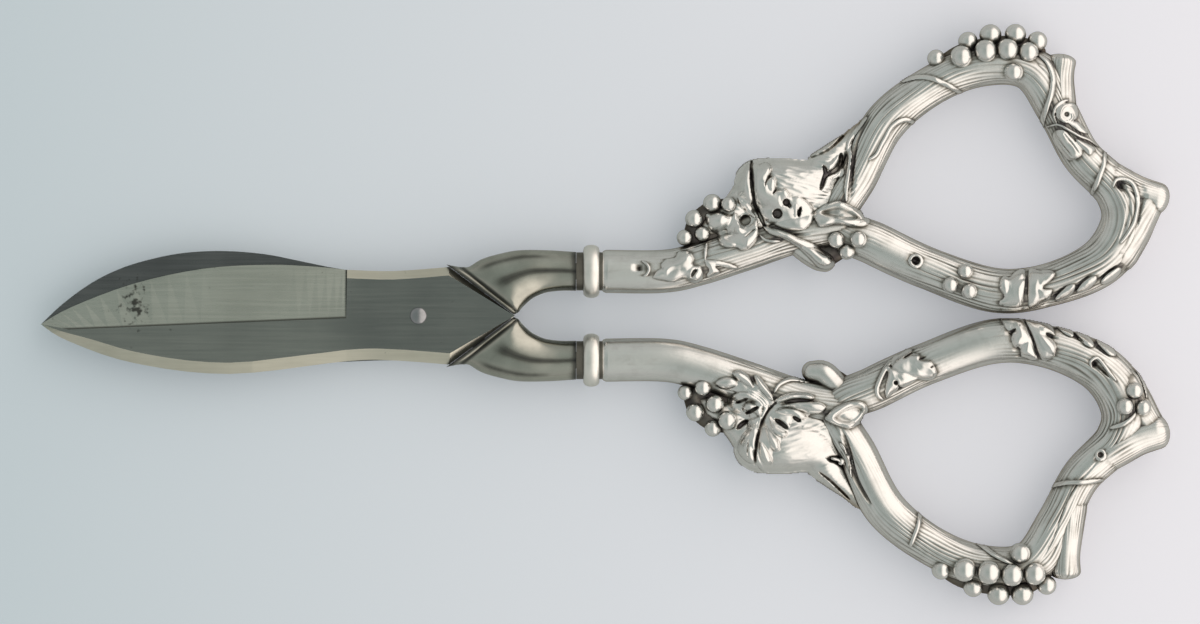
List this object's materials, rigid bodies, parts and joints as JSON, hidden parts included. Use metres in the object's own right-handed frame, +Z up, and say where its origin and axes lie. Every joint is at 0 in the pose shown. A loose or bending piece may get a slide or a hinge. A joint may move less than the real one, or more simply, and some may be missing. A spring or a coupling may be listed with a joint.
{
  "type": "grape shears",
  "caption": "Table shears for cutting grapes: steel blades on a rivet, with hollow silver handles struck as vine branches with fox heads, leaves and grapes.",
  "frame": {"origin": "under the middle of the closed shears' footprint, on the surface that they lie on", "axes": "+X from the blades' points to the finger bows, +Y towards the upper handle, +Z up from the table, out of the front face"},
  "size_m": [0.1812, 0.092, 0.0092],
  "materials": {
    "blade_steel": "ground and polished carbon steel, greyed with age",
    "rivet_steel": "polished steel",
    "plated_bolster": "worn silver plate over steel",
    "struck_silver": "die-struck silver with dark patina in the recesses",
    "handle_cement": "dull resin cement"
  },
  "bodies": {
    "lower_half": {"back_blade": "blade_steel", "pivot_rivet": "rivet_steel", "pivot_burr": "rivet_steel", "lower_bolster": "plated_bolster", "lower_collar": "struck_silver", "lower_neck_cement": "handle_cement", "lower_handle_front_shell": "struck_silver", "lower_handle_back_shell": "struck_silver"},
    "upper_half": {"front_blade": "blade_steel", "upper_bolster": "plated_bolster", "upper_collar": "struck_silver", "upper_neck_cement": "handle_cement", "upper_handle_front_shell": "struck_silver", "upper_handle_back_shell": "struck_silver"}
  },
  "joints": [
    {"name": "pivot_hinge", "type": "hinge", "parent": "lower_half", "child": "upper_half", "pos_m": [-0.0302, 0, 0.00459], "axis": [0, 0, 1], "range_deg": [0, 65]}
  ]
}
